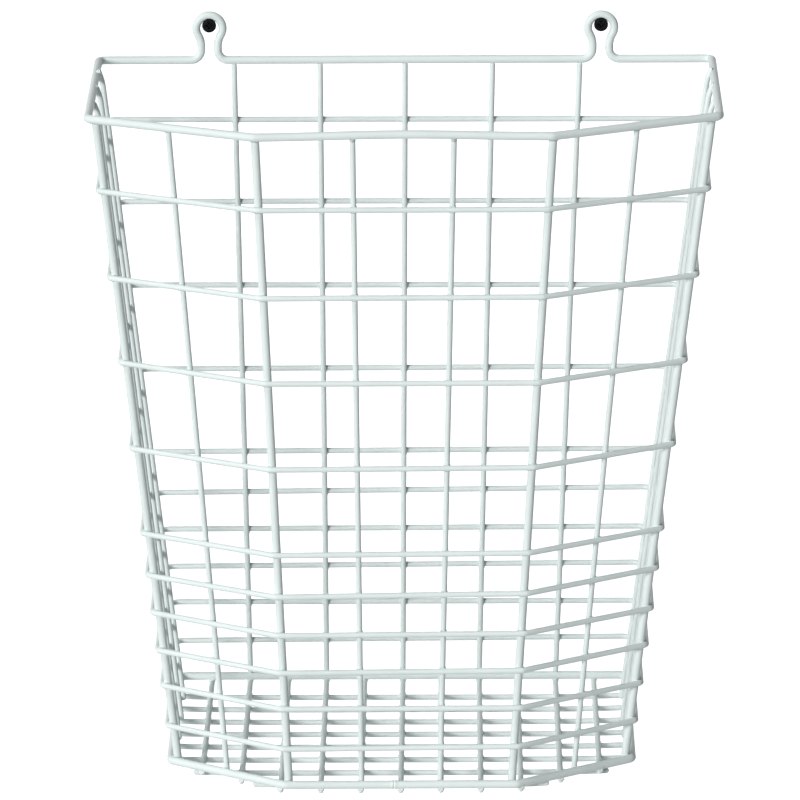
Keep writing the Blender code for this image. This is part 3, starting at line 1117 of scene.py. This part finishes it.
@dataclass
class Joinery:
    """All the spot welds of the basket, worked out from the centre lines of its wires."""

    plan: Plan
    rings: Rings
    uprights: Uprights
    grid: FloorGrid
    finish: Finish
    bend_shares: tuple[float, ...] = (0.2, 0.5, 0.8)
    rim_corner_share: float = 0.25
    rim_height_share: float = 0.40

    def headings(self, node: str, line: Line, height: float, bend_shares: tuple[float, ...]) -> list[Array]:
        """Directions along and out from an outline, where it passes an upright or bends round a post.

        Args:
            node: name of the upright or post, which starts with its panel.
            line: its centre line, on the left or right half.
            height: height over the bottom rim.
            bend_shares: places round a post's bend, as shares of the turn into the diagonal.

        Returns:
            One pair of directions for each weld, turned for the half that the line is on.
        """
        side, front = self.plan.bends(height, 0)
        slope = unit(np.array([front[0] - side[0], side[1] - front[1], 0.0]))
        aslant = np.array([-slope[1], slope[0], 0.0])
        ways = {"side": (INTO_WALL, ACROSS), "diagonal": (slope, aslant), "front": (ACROSS, -INTO_WALL),
                "back": (ACROSS, INTO_WALL)}
        panel = node.split("_")[0]
        if line.gauge is Gauge.THICK:
            outs = [unit(mix(ways[panel][1], aslant, share)) for share in bend_shares]
            pairs = [(np.array([-out[1], out[0], 0.0]), out) for out in outs]
        else:
            pairs = [ways[panel]]
        mirror = np.array([-1.0 if line.low[0] < 0 and panel != "back" else 1.0, 1.0, 1.0])
        return [np.array(pair) * mirror for pair in pairs]

    def ring_crossings(self) -> list[Crossing]:
        """Where each ring passes each upright and bends round each post.

        Returns:
            One crossing for each weld.
        """
        found = []
        for node, line in self.uprights.lines().items():
            way = unit(self.plan.at(*line.high) - self.plan.at(*line.low))
            radius = line.gauge.radius
            reach = radius + Gauge.THIN.radius - self.plan.sunk
            for index, height in enumerate(self.rings.heights()):
                even = line.at(float(height))
                spot = self.plan.at(*line.at(float(self.rings.level(index, even[0], even[1]))))
                for along, out in self.headings(node, line, float(height), self.bend_shares):
                    found.append(Crossing(spot, way, radius, spot + out * reach, along, Gauge.THIN.radius))
        return found

    def rim_crossings(self) -> list[Crossing]:
        """Where the uprights end against the rims, apart from the back ones, which end under the rail.

        Returns:
            One crossing for each weld.
        """
        found = []
        for node, line in self.uprights.lines().items():
            if node.startswith("back"):
                continue
            way = unit(self.plan.at(*line.high) - self.plan.at(*line.low))
            radius = line.gauge.radius
            reach = radius + Gauge.THICK.radius - self.plan.sunk
            for height, drop in ((0.0, 0.0), (float(line.high[2]), radius)):
                spot = self.plan.at(*line.at(height)) - way * drop
                [(along, out)] = self.headings(node, line, height, (0.5,))
                found.append(Crossing(spot, way, radius, spot + out * reach + way * drop / 2, along,
                                      Gauge.THICK.radius))
        return found

    def floor_crossings(self) -> list[Crossing]:
        """Where the cross wires pass under the runners, and the runners under the bottom rim.

        Returns:
            One crossing for each weld.
        """
        grid, thin, thick = self.grid, Gauge.THIN.radius, Gauge.THICK.radius
        x, depths = grid.runner_places, grid.cross_depths
        found = []
        for index, (depth, half) in enumerate(zip(depths, grid.rim_half_width(depths))):
            for place_x in x[np.abs(x) < half - thick]:
                level = grid.cross_level(index, place_x / half)
                found.append(Crossing(self.plan.at(place_x, depth, -grid.runner_drop), INTO_WALL, thin,
                                      self.plan.at(place_x, depth, level), ACROSS, thin))
        side, front = self.plan.bends(0, self.plan.rim_offset)
        slope = unit(np.array([front[0] - side[0], side[1] - front[1], 0.0]))
        for place_x, front_depth in zip(x, grid.rim_depth(x)):
            way = ACROSS if abs(place_x) < front[0] else slope * np.array([np.sign(place_x), 1.0, 1.0])
            for depth, along in ((self.plan.rail_back, ACROSS), (float(front_depth), way)):
                found.append(Crossing(self.plan.at(place_x, depth, 0.0), along, thick,
                                      self.plan.at(place_x, depth, -grid.runner_drop), INTO_WALL, thin))
        return found

    def build(self) -> None:
        """One piece for each group of welds."""
        material = self.finish.material()
        groups = (
            (Welds("ring_welds", self.ring_crossings()), "ring_coating"),
            (Welds("floor_welds", self.floor_crossings()), "floor_coating"),
            (Welds("rim_welds", self.rim_crossings(), corner_share=self.rim_corner_share,
                   height_share=self.rim_height_share), "rim_coating"))
        for welds, slot in groups:
            place(welds.build(material))


@dataclass
class WallScrews:
    """Two countersunk screws with a cross recess in the head and a thread on the shank."""

    plan: Plan
    finish: Finish
    spacing: float = 0.249
    head_radius: float = 0.0045
    head_edge: float = 0.0005
    head_dome: float = 0.0005
    shank_radius: float = 0.0020
    in_wall: float = 0.024
    point: float = 0.006
    blunt_share: float = 0.02
    seat: float = 0.0019
    recess_long: float = 0.0050
    recess_wide: float = 0.0010
    recess_deep: float = 0.0017
    recess_edge_share: float = 0.35
    thread_pitch: float = 0.0016
    thread_deep: float = 0.00045
    turns: int = 72
    face_rings: int = 43
    shank_rings: int = 190

    def head_face(self) -> tuple[Array, Array, Array]:
        """Height field of the head's face: a shallow dome with a cross sunk into it.

        With u and v the smaller and larger of |x| and |z|, the sink is deepest where u is under
        half the slot's width and v under a quarter of its length, and each edge is a smooth step.

        Returns:
            Places across and up, and the face's rise at each of them.
        """
        radius = np.linspace(0, self.head_radius, self.face_rings + 1)[1:]
        angle = np.arange(self.turns) * FULL_TURN / self.turns
        r, a = np.meshgrid(radius, angle, indexing="ij")
        x, z = r * np.cos(a), r * np.sin(a)
        small, large = np.minimum(np.abs(x), np.abs(z)), np.maximum(np.abs(x), np.abs(z))
        soft = self.recess_wide * self.recess_edge_share
        inside = (np.clip((self.recess_wide / 2 + soft - small) / soft, 0, 1)
                  * np.clip((self.recess_long / 2 - large) / (self.recess_long / 4), 0, 1))
        dome = self.head_dome * (1 - (r / self.head_radius) ** 2)
        return x, z, dome - self.recess_deep * smooth(inside)

    def shank(self, edge: float) -> Array:
        """Rows of points from the head's edge down its cone and along the thread to the point.

        The thread's radius is r - d + d |2 frac(y / p - a / 2 pi) - 1|, with a the angle round the
        shank and p the pitch.

        Args:
            edge: distance of the head's edge from the wall.

        Returns:
            Points by row and turn.
        """
        angle = np.arange(self.turns) * FULL_TURN / self.turns
        neck = edge - (self.head_radius - self.shank_radius)
        depth = np.concatenate([[edge], np.linspace(neck, -self.in_wall, self.shank_rings)])[:, None]
        core = np.concatenate([[self.head_radius], np.full(self.shank_rings, self.shank_radius)])[:, None]
        taper = np.clip((depth + self.in_wall) / self.point, self.blunt_share, 1)
        phase = depth / self.thread_pitch - angle[None] / FULL_TURN
        tooth = np.abs(2 * (phase - np.floor(phase)) - 1)
        radius = core * taper - np.where(depth < 0.0, self.thread_deep * tooth, 0) * taper
        return np.stack([radius * np.cos(angle), np.broadcast_to(-depth, radius.shape),
                         radius * np.sin(angle)], axis=-1)

    def build(self) -> None:
        """Both screws."""
        material = self.finish.material()
        edge = self.plan.rail_back + self.seat
        x, z, rise = self.head_face()
        face = np.stack([x, -(edge + self.head_edge + rise), z], axis=-1)
        points = np.concatenate([face, self.shank(edge)])
        faces = tube_faces(*points.shape[:2], closed=False)
        for label, sign in (("left", -1), ("right", 1)):
            piece = put_mesh(f"screw_{label}", points + ACROSS * sign * self.spacing / 2, faces, material)
            place(piece, (f"wall_screw_{label}",), SCREW_BODY)


def stand(thing: bpy.types.Object, right: Array, above: Array, back: Array, spot: tuple | Array) -> None:
    """Link an object at a spot, with its three axes along the directions given.

    Args:
        thing: camera or lamp.
        right: direction of its own X.
        above: direction of its own Y.
        back: direction of its own Z.
        spot: where it stands.
    """
    matrix = np.eye(4)
    matrix[:3] = np.column_stack([right, above, back, spot])
    thing.matrix_world = Matrix(matrix.tolist())
    bpy.context.scene.collection.objects.link(thing)


@dataclass(frozen=True)
class Lamp:
    """Distant lamp: the direction it stands in, its strength, and its soft disc in degrees."""

    name: str
    toward: Triple
    strength: float
    disc: float

    def build(self) -> None:
        """The lamp, shining towards the origin."""
        data = bpy.data.lights.new(self.name, "SUN")
        data.energy, data.angle = self.strength, math.radians(self.disc)
        source = unit(np.array(self.toward))
        right = unit(np.cross(UP, source))
        stand(bpy.data.objects.new(self.name, data), right, np.cross(source, right), source, (0.0, 0.0, 0.0))


@dataclass
class Studio:
    """Pale floor far below the basket, two lamps at the upper left, and the camera."""

    focal_px: float = 7000.0
    frame_px: float = 800.0
    camera_place: Triple = (0.02296, -4.34514, 1.01043)
    yaw: float = -0.00629
    pitch: float = -0.28241
    roll: float = -0.00464
    sensor_mm: float = 36.0
    clip: Pair = (0.1, 60.0)
    floor_drop: float = 0.9
    floor_half: float = 8.0
    floor_tone: float = 0.8
    floor_roughness: float = 0.9
    floor_lift: float = 0.85
    fill_colour: Triple = (0.80, 1.0, 0.98)
    fill_strength: float = 0.09
    lamps: tuple[Lamp, ...] = (Lamp("key", (-0.54, -0.80, 0.27), 2.36, 16.0),
                               Lamp("top", (-0.42, -0.22, 0.88), 1.0, 30.0))

    def camera(self) -> None:
        """Camera at the photograph's angle, from its heading, pitch and roll."""
        cy, sy = math.cos(self.yaw), math.sin(self.yaw)
        cp, sp = math.cos(self.pitch), math.sin(self.pitch)
        cr, sr = math.cos(self.roll), math.sin(self.roll)
        forward = np.array([sy * cp, cy * cp, sp])
        right = np.array([cy, -sy, 0.0])
        above = np.cross(right, forward)
        data = bpy.data.cameras.new("camera")
        data.sensor_width = self.sensor_mm
        data.lens = self.focal_px / self.frame_px * self.sensor_mm
        data.clip_start, data.clip_end = self.clip
        camera = bpy.data.objects.new("camera", data)
        stand(camera, cr * right + sr * above, -sr * right + cr * above, -forward, self.camera_place)
        bpy.context.scene.camera = camera

    @staticmethod
    def seen(graph: Graph) -> Socket:
        """Output that is 1 for rays of the camera, of gloss and of glass, and 0 for all others.

        Args:
            graph: nodes of a material or a world.

        Returns:
            The output.
        """
        rays = graph.add("LightPath").outputs
        straight = graph.add("Math", {0: rays["Is Camera Ray"], 1: rays["Is Transmission Ray"]},
                             operation="MAXIMUM")
        both = graph.add("Math", {0: straight.outputs[0], 1: rays["Is Glossy Ray"]}, operation="MAXIMUM")
        return both.outputs[0]

    def world(self) -> None:
        """White for what the camera, gloss and glass see, and a plain dim fill for the rest."""
        world = bpy.data.worlds.new("studio")
        graph = Graph(world)
        graph.tree.nodes.clear()
        lights = (self.fill_colour, self.fill_strength), ((1.0, 1.0, 1.0), 1.0)
        fill, white = (graph.add("Background", {"Color": (*colour, 1.0), "Strength": strength}).outputs[0]
                       for colour, strength in lights)
        blend = graph.add("MixShader", {"Fac": self.seen(graph), 1: fill, 2: white})
        graph.add("OutputWorld", {"Surface": blend.outputs[0]})
        bpy.context.scene.world = world

    def floor(self) -> None:
        """Pale floor: matt, and lifted to white where the camera sees it out of the shadow."""
        corners = ((-1, -1), (1, -1), (1, 1), (-1, 1))
        points = np.array([[x * self.floor_half, y * self.floor_half, -self.floor_drop] for x, y in corners])
        material = bpy.data.materials.new("pale_floor")
        graph = Graph(material)
        lift = graph.add("Math", {0: self.seen(graph), 1: self.floor_lift}, operation="MULTIPLY")
        graph.feed(graph.tree.nodes["Principled BSDF"], {
            "Base Color": (self.floor_tone, self.floor_tone, self.floor_tone, 1.0),
            "Roughness": self.floor_roughness, "Specular IOR Level": 0.0,
            "Emission Color": (1.0, 1.0, 1.0, 1.0), "Emission Strength": lift.outputs[0]})
        put_mesh("pale_floor", points, [[0, 1, 2, 3]], material)

    def build(self) -> None:
        """Camera, world, floor and lamps."""
        self.camera()
        self.world()
        self.floor()
        for lamp in self.lamps:
            lamp.build()
        bpy.context.scene.view_settings.view_transform = "Standard"


def main() -> None:
    """Build the basket's pieces in order, then the studio."""
    logging.basicConfig(level=logging.INFO, format="%(message)s")
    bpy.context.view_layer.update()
    plan = Plan()
    rings = Rings(plan, Finish("ring_coat"))
    uprights = Uprights(plan, Finish("post_coat"), Finish("upright_coat"))
    grid = FloorGrid(plan, Finish("floor_coat"))
    Rims(plan, Finish("rim_coat")).build()
    rings.build()
    uprights.build()
    grid.build()
    Joinery(plan, rings, uprights, grid, Finish("weld_coat")).build()
    WallScrews(plan, BLACK_PHOSPHATE).build()
    Studio().build()


if __name__ == "__main__":
    main()
